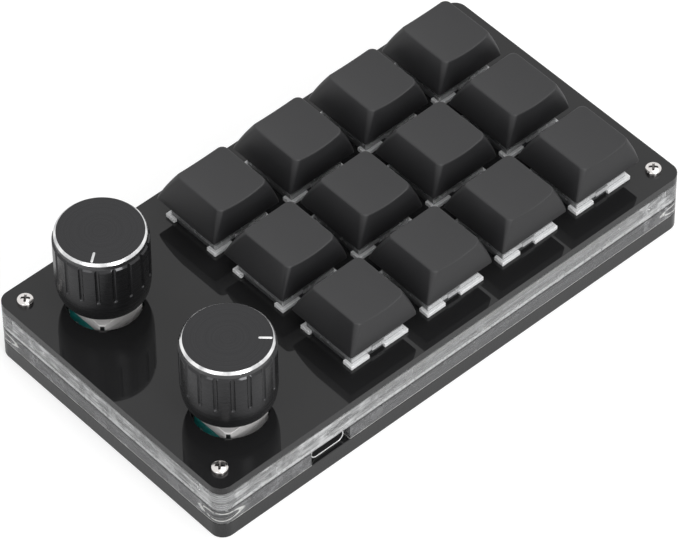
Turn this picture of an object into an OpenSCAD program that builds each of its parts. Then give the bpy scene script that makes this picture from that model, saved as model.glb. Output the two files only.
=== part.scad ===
// Macro keypad with knobs: a stack of flat acrylic layers that carries a block
// of push keys and two knobs that turn and press.
// Millimetres. Origin: centre of the underside. +X runs along the long side,
// from the knobs towards the keys, and the socket is in the -Y side.

/* [Case] */
// Length of the case along X
body_len = 129; // [126:1:160]
// Width of the case along Y
body_wid = 70; // [69:1:90]
// Radius of the case's upright corners
corner_r = 3; // [1:0.5:4]
// Thickness of the black bottom plate
bottom_t = 4.2; // [3:0.1:8]
// Thickness of the lower clear layer
lower_t = 4; // [4:0.1:8]
// Thickness of the upper clear layer
upper_t = 5.3; // [5.2:0.1:9]
// Thickness of the black top plate
top_t = 1.9; // [1.5:0.1:3]
// Width of the wall of both clear layers
wall = 4; // [2:0.5:5]

/* [Keys] */
// Distance between the centres of neighbouring keys
key_pitch = 21; // [19.05:0.05:21.5]
// Distance of the key block's centre from the case's centre, along X
key_block_x = 15.75; // [14:0.25:17]
// How far a key travels down
key_travel = 4; // [3:0.1:4]
// Width of a keycap at its lower edge
cap_base = 18.1; // [17:0.1:18.6]
// Width of a keycap's top along X
cap_top_x = 13; // [11:0.1:14]
// Depth of a keycap's top along Y
cap_top_y = 13.9; // [12:0.1:14.5]
// Distance of a keycap's top from its base's centre, towards -Y
cap_shift = 1.25; // [0:0.05:1.6]
// Height of a keycap
cap_h = 7.8; // [7.4:0.1:10]
// Depth of the hollow in a keycap's top
dish_depth = 0.8; // [0.3:0.1:1]
// Thickness of a keycap's wall
cap_wall = 1.4; // [1:0.1:1.5]

/* [Knobs] */
// Distance between the two knobs' axes, along Y
knob_pitch = 39; // [34:0.5:42]
// Distance of the knobs' axes from the case's centre, towards -X
knob_x = 48.1; // [46:0.1:50]
// Diameter of a knob
knob_d = 20; // [18:0.5:24]
// Height of a knob
knob_h = 17; // [16:0.5:20]
// Gap between a knob and the top plate
knob_gap = 4.4; // [3.9:0.1:6]
// Number of grooves around a knob
flute_count = 18; // [12:1:24]
// How far a knob can be pressed down
press_travel = 0.5; // [0.2:0.1:0.5]
// Diameter of a knob's shaft
shaft_d = 6; // [5.5:0.1:6]

/* [Socket] */
// Distance of the socket's centre from the case's centre, towards -X
socket_x = 34.9; // [33:0.1:36]
// Outside width of the socket's shell
socket_w = 8.94; // [8:0.01:9.2]
// Outside height of the socket's shell
socket_h = 3.26; // [2.8:0.01:3.4]
// How far the socket's mouth lies inside the case's side
socket_inset = 1.1; // [0.3:0.1:2]

/* [Screws] */
// Distance of a screw's axis from the case's short sides
screw_inset_x = 4.2; // [4:0.1:5]
// Distance of a screw's axis from the case's long sides
screw_inset_y = 4.7; // [4:0.1:5]
// Diameter of a screw's thread
screw_d = 2; // [1.6:0.1:2.2]
// Diameter of a screw's head
head_d = 3.5; // [3:0.1:4.4]

/* [Hidden] */
// ---- names of the sub-parts ------------------------------------------------
key_cols = 4;
key_rows = 3;
KEYS = [for (n = [1 : key_cols * key_rows]) n];
SIDES = ["front", "rear"];

// ---- clearances and small steps --------------------------------------------
eps = 0.01;          // overshoot of a cut past the face that it opens
run = 0.05;          // radial clearance of a part that slides or turns
loose = 0.1;         // clearance around a part that is dropped in
board_gap = 0.4;     // gap between the circuit board and the case's wall
insert_gap = 0.02;   // radial clearance of the threaded inserts and cores
hull_fn = 24;        // facets of the corners of a rounded shell
fine_fn = 64;        // facets of large round parts
small_fn = 32;       // facets of small round parts

// ---- heights, from the underside up ----------------------------------------
lower_z = bottom_t;
upper_z = lower_z + lower_t;
plate_under = upper_z + upper_t;
plate_z = plate_under + top_t;
board_drop = 5;                    // top plate's face down to the board's face
board_t = 1.6;
board_top = plate_z - board_drop;
board_under = board_top - board_t;

// ---- plan of the case --------------------------------------------------------
screw_x = body_len / 2 - screw_inset_x;
screw_y = body_wid / 2 - screw_inset_y;
window_len = body_len - 2 * wall;
window_wid = body_wid - 2 * wall;
window_r = 1.5;
boss_r = 5.2;                      // rounded block of the frames at a screw
screw_points = [for (i = [-1, 1], j = [-1, 1]) [i * screw_x, j * screw_y]];

// ---- switch ------------------------------------------------------------------
cutout = 14;                       // square hole of a switch in the top plate
base_w = cutout - loose;           // housing below the plate
flange_w = 15.6;
flange_t = 1;
floor_t = 1.4;                     // housing's floor above the board
cavity_w = 11.6;                   // inside of the housing
cover_foot_w = 14;                 // upper housing at its foot
cover_foot_h = 1.2;
cover_top_w = 11;
housing_h = 6.6;                   // top plate's face up to the housing's top
cover_roof = 1.2;
flange_z = plate_z + flange_t;
housing_top = plate_z + housing_h;
floor_z = board_top + floor_t;
post_d = 4;                        // locating post through the board
post_len = 3.3;
post_bore = 2.8;                   // takes the stem's guide rod
post_cap = 0.7;                    // closed end of the post
flange_left = 5;                   // stretch of flange left of the clip gap
flange_right = 6.4;                // stretch right of the clip gap
flange_tab = 2.65;                 // stretch at each corner of the -X and +X sides
clip_w = 3.3;                      // clip in the gap
clip_t = 0.3;
clip_h = 1.2;

// ---- stem --------------------------------------------------------------------
slider_x = 7.2;
slider_y = 5.6;
shoulder_x = 9.6;
shoulder_y = 5.6;
shoulder_z = flange_z - 0.2;       // lower end of the stem's shoulder
cross_long = 4;
cross_arm_x = 1.17;
cross_arm_y = 1.31;
cross_h = 3.6;
rod_d = 2.2;
rod_end = floor_z + key_travel - 2.9;   // lower end of the guide rod
spring_seat = 2.6;                 // spring's upper end below the housing's top

// ---- keycap ------------------------------------------------------------------
cap_z = plate_z + 5.5;             // lower edge of a keycap at rest
cap_base_r = 0.5;
cap_top_r = 2;
cap_mid = 0.55;                    // height share of the shell's middle section
cap_bulge = 0.45;                  // how far that section stands out of a straight side
cap_rim = 0.4;                     // straight stretch at the lower edge
cap_post_d = 5.5;
roof_z = housing_top + cross_h + 1;
cross_fit = 0.05;                  // clearance around the stem's cross

// ---- springs -----------------------------------------------------------------
wire_d = 0.35;
spring_d = 4.1;                    // centre line of the wire
spring_turns = 5;
spring_steps = 8;                  // sections in a turn
spring_sides = 3;
spring_z0 = floor_z + wire_d;
spring_z1 = housing_top - spring_seat - wire_d;

// ---- contacts ----------------------------------------------------------------
pin_points = [[-3.81, 2.54], [2.54, 5.08]];
pin_w = 0.9;
pin_t = 0.4;
pin_end = board_top - 3.3;
pin_hole = 1.5;
leaf_h = 3.4;
leaf_w = 2.4;
leaf_y = 4.9;                      // both contacts stand here, beside the stem
foot_t = 0.25;                     // strip along the floor from pin to leaf

// ---- encoder -----------------------------------------------------------------
hole_d = 16.3;                     // round hole under a knob
enc_x = 11.7;
enc_y = 12;
enc_cut = 0.9;                     // cut corner of the encoder
enc_h = 6.1;                       // board up to the top of the cover plate
metal_t = 0.3;
cover_t = 0.5;
skirt_h = 2.2;
enc_top = board_top + enc_h;
bush_wall = 0.5;                   // wall of the threaded bush with its running gap
bush_d = shaft_d + 2 * bush_wall;
bush_h = 5;
bush_top = enc_top + bush_h;
enc_floor = 1;
leg_w = 2;
leg_end = board_under - 1.2;
collar_out = 0.35;                 // how far the shaft's collar stands out of it
collar_d = shaft_d + 2 * collar_out;
collar_h = 1;
bore_gap = 0.15;                   // gap around the collar
enc_bore = collar_d + 2 * bore_gap;   // well of the plunger in the plastic body
plunger_d = enc_bore - 2 * run;
collar_top = enc_top - cover_t - run;
plunger_top = collar_top - collar_h;
plunger_end = board_top + enc_floor + press_travel + 0.3;
shaft_len = 15;                    // cover plate up to the shaft's end
shaft_end = enc_top + shaft_len;
flat_depth = 1.5;                  // flat of the shaft
flat_z = bush_top + 1;
enc_pin_y = [[-1, [-2.5, 0, 2.5]], [1, [-2.5, 2.5]]];   // side, places along Y
enc_pin_x = 7;
enc_pin_w = 0.8;
enc_pin_z = 0.6;                   // height of the pins' bend above the board

// ---- knob --------------------------------------------------------------------
knob_z = plate_z + knob_gap;
knob_top = knob_z + knob_h;
chamfer = 0.6;                     // bright edge of the knob's top
band_h = 1.05;                     // smooth band under the chamfer
band_step = 0.4;                   // bevel from the grooved side in to the band
crest_h = knob_h - chamfer - band_h - band_step;   // upper end of the grooved side
foot_h = 5;                        // rounded stretch at the foot
foot_in = 1;                       // how far it draws in
foot_steps = 8;
flute_r = 0.5;
flute_depth = 0.38;
flute_z = 5.6;                     // lower end of the grooves
core_d = 13;
core_in = 0.4;                     // core's end above the knob's lower edge
core_roof = 3.6;                   // thickness of the knob above its core
pointer_len = 2.6;
pointer_w = 0.5;
pointer_depth = 0.15;
pointer_turn = [-32, -144];        // direction of each knob's pointer
side_y = [-knob_pitch / 2, knob_pitch / 2];

// ---- socket ------------------------------------------------------------------
notch_gap = 0.78;                  // gap on either side of the socket
notch_w = socket_w + 2 * notch_gap;
socket_len = 7.3;
socket_z = lower_z + 0.1;
socket_t = 0.3;
tongue_gap = 0.82;                 // gap on either side of the tongue
tongue_w = socket_w - 2 * socket_t - 2 * tongue_gap;
tongue_t = 0.7;
tongue_in = 0.7;                   // tongue's end inside the mouth
socket_back = 1.2;
socket_leg = 0.8;
socket_y = -body_wid / 2 + socket_inset;

// ---- board parts ---------------------------------------------------------------
chip = [7, 7, 0.9];
chip_at = [-32, 8];
crystal = [3.2, 2.5, 0.8];
crystal_at = [-32, -2];
chip_cap = [1.6, 0.8, 0.8];
cap_rows = [-12, -8, 16, 20];
diode = [2.7, 1.6, 1.1];
diode_at = [6.2, -6.5];

// ---- screws --------------------------------------------------------------------
head_h = 1.3;
screw_len = 12;
driver_w = 0.55;
driver_len = 2;
driver_depth = 0.8;
insert_d = 4;
insert_z = 1.2;
insert_len = 6.6;
screw_hole = screw_d + 0.4;

// ---- places ---------------------------------------------------------------------
function key_x(n) = key_block_x + (n % key_cols - (key_cols - 1) / 2) * key_pitch;
function key_y(n) = (floor(n / key_cols) - (key_rows - 1) / 2) * key_pitch;

module at_keys() {
    for (n = [0 : key_cols * key_rows - 1])
        translate([key_x(n), key_y(n), 0]) children();
}

module at_screws() {
    for (p = screw_points) translate([p[0], p[1], 0]) children();
}

module at_knobs() {
    for (y = side_y) translate([-knob_x, y, 0]) children();
}

// ---- shapes ----------------------------------------------------------------------
// Rectangle about the origin whose corners are true arcs
module rounded(len, wid, r) {
    square([len - 2 * r, wid], center = true);
    square([len, wid - 2 * r], center = true);
    for (i = [-1, 1], j = [-1, 1])
        translate([i * (len / 2 - r), j * (wid / 2 - r)]) circle(r, $fn = small_fn);
}

// Block that stands on its own origin's plane
module block(x, y, z) {
    translate([-x / 2, -y / 2, 0]) cube([x, y, z]);
}

// Four-sided block that tapers from base to top
module taper(base, top, h) {
    b = base / 2;
    t = top / 2;
    polyhedron(
        points = [[-b, -b, 0], [b, -b, 0], [b, b, 0], [-b, b, 0],
                  [-t, -t, h], [t, -t, h], [t, t, h], [-t, t, h]],
        faces = [[0, 1, 2, 3], [4, 7, 6, 5], [0, 4, 5, 1],
                 [1, 5, 6, 2], [2, 6, 7, 3], [3, 7, 4, 0]]);
}

// Rectangle with cut corners
module cut_corners(x, y, c) {
    polygon([[-x / 2 + c, -y / 2], [x / 2 - c, -y / 2], [x / 2, -y / 2 + c],
             [x / 2, y / 2 - c], [x / 2 - c, y / 2], [-x / 2 + c, y / 2],
             [-x / 2, y / 2 - c], [-x / 2, -y / 2 + c]]);
}

// Flat tube with round ends, as a socket's shell is
module oval(w, h, len) {
    rotate([90, 0, 0]) linear_extrude(len, center = true) {
        square([w - h, h], center = true);
        for (i = [-1, 1]) translate([i * (w - h) / 2, 0]) circle(h / 2, $fn = small_fn);
    }
}

// ---- case ------------------------------------------------------------------------
module case_layer(t) {
    linear_extrude(t) rounded(body_len, body_wid, corner_r);
}

module screw_holes(z, h, d) {
    at_screws() translate([0, 0, z - eps]) cylinder(h + 2 * eps, d = d, $fn = small_fn);
}

module top_plate() {
    color([0.05, 0.05, 0.055]) difference() {
        translate([0, 0, plate_under]) case_layer(top_t);
        at_keys() translate([0, 0, plate_under - eps]) block(cutout, cutout, top_t + 2 * eps);
        at_knobs() translate([0, 0, plate_under - eps])
            cylinder(top_t + 2 * eps, d = hole_d, $fn = fine_fn);
        screw_holes(plate_under, top_t, screw_hole);
    }
}

// Ring with a rounded block at each screw
module frame_outline() {
    difference() {
        rounded(body_len, body_wid, corner_r);
        difference() {
            rounded(window_len, window_wid, window_r);
            for (p = screw_points) translate(p) circle(boss_r, $fn = small_fn);
        }
    }
}

module upper_frame() {
    color([0.85, 0.88, 0.9, 0.4]) difference() {
        translate([0, 0, upper_z]) linear_extrude(upper_t) frame_outline();
        screw_holes(upper_z, upper_t, screw_hole);
    }
}

module lower_frame() {
    color([0.8, 0.84, 0.87, 0.4]) difference() {
        translate([0, 0, lower_z]) linear_extrude(lower_t) frame_outline();
        screw_holes(lower_z, lower_t, insert_d + 2 * loose);
        translate([-socket_x, -body_wid / 2, lower_z - eps])
            block(notch_w, 2 * wall + 2 * eps, lower_t + 2 * eps);
    }
}

module bottom_plate() {
    color([0.05, 0.05, 0.055]) difference() {
        case_layer(bottom_t);
        screw_holes(insert_z + eps, bottom_t - insert_z, insert_d + 2 * insert_gap);
    }
}

module case_screws() {
    color("silver") at_screws() {
        translate([0, 0, plate_z - screw_len])
            cylinder(screw_len, d = screw_d, $fn = small_fn);
        difference() {
            translate([0, 0, plate_z]) rotate_extrude($fn = small_fn) intersection() {
                square([head_d / 2, head_h]);
                translate([0, head_h - head_d]) circle(head_d, $fn = 2 * fine_fn);
            }
            for (a = [45, 135]) rotate([0, 0, a])
                translate([0, 0, plate_z + head_h - driver_depth])
                    block(driver_len, driver_w, head_h);
        }
    }
}

module threaded_inserts() {
    color("gold") at_screws() translate([0, 0, insert_z]) difference() {
        cylinder(insert_len, d = insert_d, $fn = small_fn);
        translate([0, 0, -eps])
            cylinder(insert_len + 2 * eps, d = screw_d + 2 * insert_gap, $fn = small_fn);
    }
}

// ---- circuit board -----------------------------------------------------------------
module circuit_board() {
    color([0.06, 0.1, 0.08]) difference() {
        translate([0, 0, board_under]) linear_extrude(board_t) difference() {
            rounded(window_len - 2 * board_gap, window_wid - 2 * board_gap, window_r);
            for (p = screw_points) translate(p) circle(boss_r + board_gap, $fn = small_fn);
        }
        at_keys() translate([0, 0, board_under - eps]) {
            cylinder(board_t + 2 * eps, d = post_d + 2 * loose, $fn = small_fn);
            for (p = pin_points) translate(p)
                cylinder(board_t + 2 * eps, d = pin_hole, $fn = small_fn);
        }
        at_knobs() translate([0, 0, board_under - eps]) {
            for (s = enc_pin_y, y = s[1]) translate([s[0] * enc_pin_x, y, 0])
                cylinder(board_t + 2 * eps, d = pin_hole, $fn = small_fn);
            for (j = [-1, 1]) translate([0, j * (enc_y - metal_t) / 2, 0])
                block(leg_w + 2 * loose, metal_t + 6 * loose, board_t + 2 * eps);
        }
    }
}

module controller_chip() {
    color([0.1, 0.1, 0.1]) translate([chip_at[0], chip_at[1], board_under - chip[2]])
        block(chip[0], chip[1], chip[2]);
}

module board_parts() {
    color([0.75, 0.72, 0.6]) {
        translate([crystal_at[0], crystal_at[1], board_under - crystal[2]])
            block(crystal[0], crystal[1], crystal[2]);
        for (y = cap_rows) translate([chip_at[0], y, board_under - chip_cap[2]])
            block(chip_cap[0], chip_cap[1], chip_cap[2]);
        at_keys() translate([diode_at[0], diode_at[1], board_under - diode[2]])
            block(diode[0], diode[1], diode[2]);
    }
}

// ---- socket ------------------------------------------------------------------------
module usb_shell() {
    mid_y = socket_y + socket_len / 2;
    mid_z = socket_z + socket_h / 2;
    leg_x = socket_w / 2 - socket_h / 2;
    leg_z = socket_z + socket_h - socket_t / 2;
    leg_ends = [board_gap - window_wid / 2 + socket_leg,
                socket_y + socket_len - socket_leg];
    color("silver") {
        translate([-socket_x, mid_y, mid_z]) difference() {
            oval(socket_w, socket_h, socket_len);
            translate([0, -socket_back, 0])
                oval(socket_w - 2 * socket_t, socket_h - 2 * socket_t, socket_len);
        }
        for (i = [-1, 1], y = leg_ends)
            translate([-socket_x + i * leg_x, y, leg_z])
                block(socket_leg, socket_leg, board_under - leg_z);
    }
}

module usb_tongue() {
    len = socket_len - socket_back - tongue_in;
    color([0.08, 0.08, 0.08])
        translate([-socket_x, socket_y + tongue_in + len / 2,
                   socket_z + (socket_h - tongue_t) / 2])
            block(tongue_w, len, tongue_t);
}

// ---- switches ----------------------------------------------------------------------
// Flange with a clip gap in the -Y and +Y sides and a long gap in the others
module flange() {
    gap_x = flange_w - flange_left - flange_right;
    gap_mid = -flange_w / 2 + flange_left + gap_x / 2;
    rim = (flange_w - base_w) / 2;
    difference() {
        block(flange_w, flange_w, flange_t);
        for (j = [-1, 1]) translate([gap_mid, j * (flange_w - rim) / 2, -eps])
            block(gap_x, rim + eps, flange_t + 2 * eps);
        for (i = [-1, 1]) translate([i * (flange_w - rim) / 2, 0, -eps])
            block(rim + eps, flange_w - 2 * flange_tab, flange_t + 2 * eps);
    }
}

module switch_base() {
    difference() {
        union() {
            translate([0, 0, board_top]) block(base_w, base_w, board_drop);
            translate([0, 0, plate_z]) flange();
            translate([0, 0, plate_z]) block(base_w, base_w, flange_t);
            translate([0, 0, board_top - post_len])
                cylinder(post_len + eps, d = post_d, $fn = small_fn);
        }
        translate([0, 0, floor_z]) block(cavity_w, cavity_w, flange_z - floor_z + eps);
        translate([0, 0, board_top - post_len + post_cap])
            cylinder(floor_z - board_top + post_len, d = post_bore, $fn = small_fn);
        for (p = pin_points) translate([p[0], p[1], board_top - eps])
            block(pin_w + 2 * run, pin_t + 2 * run, floor_t + 2 * eps);
    }
}

module switch_bases() {
    color([0.93, 0.94, 0.95, 0.7]) at_keys() switch_base();
}

module switch_cover() {
    body_h = housing_top - flange_z - cover_foot_h;
    difference() {
        union() {
            translate([0, 0, flange_z]) block(cover_foot_w, cover_foot_w, cover_foot_h);
            translate([0, 0, flange_z + cover_foot_h - eps])
                taper(cover_foot_w - 0.6, cover_top_w, body_h + eps);
        }
        translate([0, 0, flange_z - eps])
            block(cavity_w, cavity_w, cover_foot_h + eps);
        translate([0, 0, flange_z + cover_foot_h - 2 * eps])
            taper(cavity_w, cover_top_w - 1.2, body_h - cover_roof);
        translate([0, 0, housing_top - 2 * cover_roof])
            block(slider_x + 4 * run, slider_y + 4 * run, 3 * cover_roof);
    }
    for (j = [-1, 1]) translate([0, j * (cover_foot_w + clip_t) / 2, flange_z])
        block(clip_w, clip_t, clip_h);
}

module switch_covers() {
    color([0.93, 0.94, 0.95, 0.6]) at_keys() switch_cover();
}

module switch_contacts() {
    color([0.8, 0.6, 0.3]) at_keys() for (p = pin_points) {
        translate([p[0], p[1], pin_end]) block(pin_w, pin_t, floor_z - pin_end + foot_t);
        translate([p[0], (p[1] + leaf_y) / 2, floor_z])
            block(pin_w, abs(leaf_y - p[1]) + pin_t, foot_t);
        translate([p[0], leaf_y, floor_z]) block(leaf_w, pin_t, leaf_h);
    }
}

// One unbroken wire: points on a helix, and a small section at each
module key_spring() {
    steps = spring_turns * spring_steps;
    rise = spring_z1 - spring_z0;
    function wire(i, k) =
        let (a = 360 * i / spring_steps,
             b = 360 * k / spring_sides,
             r = spring_d / 2 + wire_d / 2 * cos(b))
        [r * cos(a), r * sin(a), spring_z0 + rise * i / steps + wire_d / 2 * sin(b)];
    points = [for (i = [0 : steps], k = [0 : spring_sides - 1]) wire(i, k)];
    function at(i, k) = i * spring_sides + k % spring_sides;
    sides = [for (i = [0 : steps - 1], k = [0 : spring_sides - 1])
        each [[at(i, k), at(i, k + 1), at(i + 1, k + 1)],
              [at(i, k), at(i + 1, k + 1), at(i + 1, k)]]];
    ends = [[for (k = [0 : spring_sides - 1]) spring_sides - 1 - k],
            [for (k = [0 : spring_sides - 1]) steps * spring_sides + k]];
    polyhedron(points = points, faces = concat(sides, ends));
}

module key_springs() {
    color("silver") at_keys() key_spring();
}

module cross(h, fit) {
    block(cross_long + 2 * fit, cross_arm_x + 2 * fit, h);
    block(cross_arm_y + 2 * fit, cross_long + 2 * fit, h);
}

module key_stem(n) {
    top_z = housing_top - cover_roof - run;
    color([0.75, 0.2, 0.18]) translate([key_x(n), key_y(n), 0]) {
        difference() {
            union() {
                translate([0, 0, shoulder_z]) block(shoulder_x, shoulder_y, top_z - shoulder_z);
                translate([0, 0, shoulder_z])
                    block(slider_x, slider_y, housing_top - shoulder_z);
            }
            translate([0, 0, shoulder_z - eps])
                cylinder(housing_top - spring_seat - shoulder_z + eps,
                         d = spring_d + wire_d + 2 * loose, $fn = small_fn);
        }
        translate([0, 0, rod_end]) cylinder(housing_top - rod_end - 1, d = rod_d, $fn = small_fn);
        translate([0, 0, housing_top - eps]) cross(cross_h + eps, 0);
    }
}

// Three rounded sections, each wide, deep and shifted as asked, joined by a skin
module cap_shell(inset, height) {
    mid_x = cap_base + (cap_top_x - cap_base) * cap_mid + cap_bulge;
    mid_y = cap_base + (cap_top_y - cap_base) * cap_mid + cap_bulge;
    hull() {
        linear_extrude(cap_rim)
            rounded_skin(cap_base - 2 * inset, cap_base - 2 * inset, cap_base_r);
        translate([0, -cap_shift * cap_mid, height * cap_mid]) linear_extrude(eps)
            rounded_skin(mid_x - 2 * inset, mid_y - 2 * inset, (cap_base_r + cap_top_r) / 2);
        translate([0, -cap_shift, height - eps]) linear_extrude(eps)
            rounded_skin(cap_top_x - 2 * inset, cap_top_y - 2 * inset, cap_top_r);
    }
}

module rounded_skin(len, wid, r) {
    for (i = [-1, 1], j = [-1, 1])
        translate([i * (len / 2 - r), j * (wid / 2 - r)]) circle(r, $fn = hull_fn);
}

module keycap(n) {
    dish_r = (pow(cap_top_x / 2, 2) + pow(dish_depth, 2)) / (2 * dish_depth);
    roof = roof_z - cap_z;
    color([0.12, 0.12, 0.125]) translate([key_x(n), key_y(n), cap_z]) {
        difference() {
            cap_shell(0, cap_h);
            translate([0, 0, cap_h - dish_depth + dish_r]) rotate([90, 0, 0])
                cylinder(2 * cap_base, r = dish_r, center = true, $fn = 4 * fine_fn);
            difference() {
                translate([0, 0, -eps]) cap_shell(cap_wall, cap_h);
                translate([0, 0, roof]) block(cap_base, cap_base, cap_h);
            }
        }
        difference() {
            translate([0, 0, housing_top - cap_z])
                cylinder(roof - housing_top + cap_z + eps, d = cap_post_d, $fn = small_fn);
            translate([0, 0, housing_top - cap_z - eps]) cross(cross_h + 2 * loose, cross_fit);
        }
    }
}

// ---- encoders ----------------------------------------------------------------------
module at_side(s) {
    translate([-knob_x, side_y[s], 0]) children();
}

module encoder_body(s) {
    plastic_x = enc_x - 2 * metal_t;
    plastic_y = enc_y - 2 * metal_t;
    color([0.1, 0.55, 0.52]) at_side(s) difference() {
        translate([0, 0, board_top]) linear_extrude(enc_h - cover_t)
            cut_corners(plastic_x, plastic_y, enc_cut);
        translate([0, 0, board_top + enc_floor])
            cylinder(enc_h, d = enc_bore, $fn = fine_fn);
    }
}

module encoder_bracket(s) {
    side_h = enc_h - cover_t;
    color([0.75, 0.75, 0.74]) at_side(s) difference() {
        union() {
            translate([0, 0, enc_top - cover_t]) linear_extrude(cover_t)
                cut_corners(enc_x, enc_y, enc_cut);
            translate([0, 0, enc_top - eps]) cylinder(bush_h + eps, d = bush_d, $fn = fine_fn);
            for (j = [-1, 1]) translate([0, j * (enc_y - metal_t) / 2, 0]) {
                translate([0, 0, board_top]) block(enc_x - 2 * enc_cut, metal_t, side_h + eps);
                translate([0, 0, leg_end]) block(leg_w, metal_t, board_top - leg_end + eps);
            }
            for (i = [-1, 1])
                translate([i * (enc_x - metal_t) / 2, 0, enc_top - cover_t - skirt_h])
                    block(metal_t, enc_y - 2 * enc_cut, skirt_h + eps);
        }
        translate([0, 0, enc_top - 2 * cover_t])
            cylinder(bush_h + 3 * cover_t, d = shaft_d + 2 * run, $fn = fine_fn);
    }
}

module encoder_pins() {
    reach = enc_pin_x - enc_x / 2 + metal_t;
    color("silver") at_knobs() for (s = enc_pin_y, y = s[1]) {
        translate([s[0] * enc_pin_x, y, board_under - 1])
            block(enc_pin_w, enc_pin_w, board_t + 1 + enc_pin_z);
        translate([s[0] * (enc_pin_x - reach / 2), y, board_top + enc_pin_z - 0.3])
            block(reach, enc_pin_w, 0.3);
    }
}

module encoder_plunger(s) {
    color([0.9, 0.9, 0.86]) at_side(s) translate([0, 0, plunger_end])
        cylinder(plunger_top - plunger_end, d = plunger_d, $fn = fine_fn);
}

// Cylinder with a flat along it, from the foot up
module d_rod(d, flat, h) {
    difference() {
        cylinder(h, d = d, $fn = fine_fn);
        translate([d / 2 - flat, -d, -eps]) cube([d, 2 * d, h + 2 * eps]);
    }
}

module encoder_shaft(s) {
    color([0.7, 0.7, 0.68]) at_side(s) rotate([0, 0, pointer_turn[s]]) {
        translate([0, 0, plunger_top]) cylinder(collar_h, d = collar_d, $fn = fine_fn);
        translate([0, 0, plunger_top])
            cylinder(flat_z - plunger_top, d = shaft_d, $fn = fine_fn);
        translate([0, 0, flat_z - eps]) d_rod(shaft_d, flat_depth, shaft_end - flat_z + eps);
    }
}

// ---- knobs -------------------------------------------------------------------------
module knob_core(s) {
    z0 = knob_z + core_in;
    z1 = knob_top - core_roof;
    color([0.15, 0.15, 0.16]) at_side(s) rotate([0, 0, pointer_turn[s]]) difference() {
        translate([0, 0, z0]) cylinder(z1 - z0, d = core_d, $fn = fine_fn);
        translate([0, 0, z0 - eps])
            cylinder(flat_z - z0 + eps, d = bush_d + 6 * loose, $fn = fine_fn);
        translate([0, 0, flat_z - 2 * eps])
            d_rod(shaft_d + 2 * run, flat_depth, shaft_end - flat_z + 4 * loose);
    }
}

// Half section of a knob, from the axis out
module knob_profile() {
    r = knob_d / 2;
    foot = [for (i = [0 : foot_steps])
        let (a = 90 * i / foot_steps)
        [r - foot_in * (1 - sin(a)), foot_h * (1 - cos(a))]];
    polygon(concat(
        [[0, 0]], foot,
        [[r, crest_h], [r - band_step, crest_h + band_step], [r - band_step, knob_h - chamfer],
         [r - band_step - chamfer, knob_h], [0, knob_h]]));
}

module knob_shell(s) {
    r = knob_d / 2;
    top_r = r - band_step - chamfer;
    color([0.1, 0.1, 0.105]) at_side(s) rotate([0, 0, pointer_turn[s]])
        translate([0, 0, knob_z]) difference() {
            rotate_extrude($fn = fine_fn) knob_profile();
            translate([0, 0, -eps])
                cylinder(knob_h - core_roof + eps, d = core_d + 2 * insert_gap, $fn = fine_fn);
            for (i = [0 : flute_count - 1]) rotate([0, 0, (i + 0.5) * 360 / flute_count])
                translate([r + flute_r - flute_depth, 0, flute_z])
                    cylinder(crest_h + band_step - flute_z, r = flute_r, $fn = small_fn);
            translate([top_r - pointer_len / 2 - 0.2, 0, knob_h - pointer_depth])
                block(pointer_len, pointer_w, 1);
        }
}

// ---- what is drawn -------------------------------------------------------------------
top_plate();
upper_frame();
lower_frame();
bottom_plate();
circuit_board();
controller_chip();
board_parts();
usb_shell();
usb_tongue();
switch_bases();
switch_covers();
switch_contacts();
key_springs();
case_screws();
threaded_inserts();
encoder_pins();
for (n = KEYS) key_stem(n - 1);
for (n = KEYS) keycap(n - 1);
for (s = [0, 1]) encoder_body(s);
for (s = [0, 1]) encoder_bracket(s);
for (s = [0, 1]) encoder_plunger(s);
for (s = [0, 1]) encoder_shaft(s);
for (s = [0, 1]) knob_core(s);
for (s = [0, 1]) knob_shell(s);
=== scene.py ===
"""Looks of a macro keypad with two knobs: finishes for its CAD nodes, finer pieces that stand for some of
them, and the floor, light and camera. Shapes are worked out in millimetres, and new_mesh makes them
metres."""

import math

import bmesh
import bpy
import numpy as np
from mathutils import Matrix


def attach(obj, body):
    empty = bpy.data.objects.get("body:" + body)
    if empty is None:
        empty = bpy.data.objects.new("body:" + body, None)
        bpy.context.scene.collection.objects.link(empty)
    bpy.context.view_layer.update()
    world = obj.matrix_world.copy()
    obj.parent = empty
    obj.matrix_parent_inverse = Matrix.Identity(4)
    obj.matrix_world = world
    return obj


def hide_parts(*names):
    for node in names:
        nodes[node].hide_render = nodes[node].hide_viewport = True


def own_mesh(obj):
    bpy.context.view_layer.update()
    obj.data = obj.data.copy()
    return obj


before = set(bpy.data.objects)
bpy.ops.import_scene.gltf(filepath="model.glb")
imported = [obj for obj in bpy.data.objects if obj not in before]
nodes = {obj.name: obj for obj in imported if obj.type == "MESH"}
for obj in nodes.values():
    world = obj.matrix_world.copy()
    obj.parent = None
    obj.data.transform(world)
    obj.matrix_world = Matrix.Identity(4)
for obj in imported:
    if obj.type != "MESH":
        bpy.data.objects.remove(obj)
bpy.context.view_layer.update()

MM = 0.001

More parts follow.
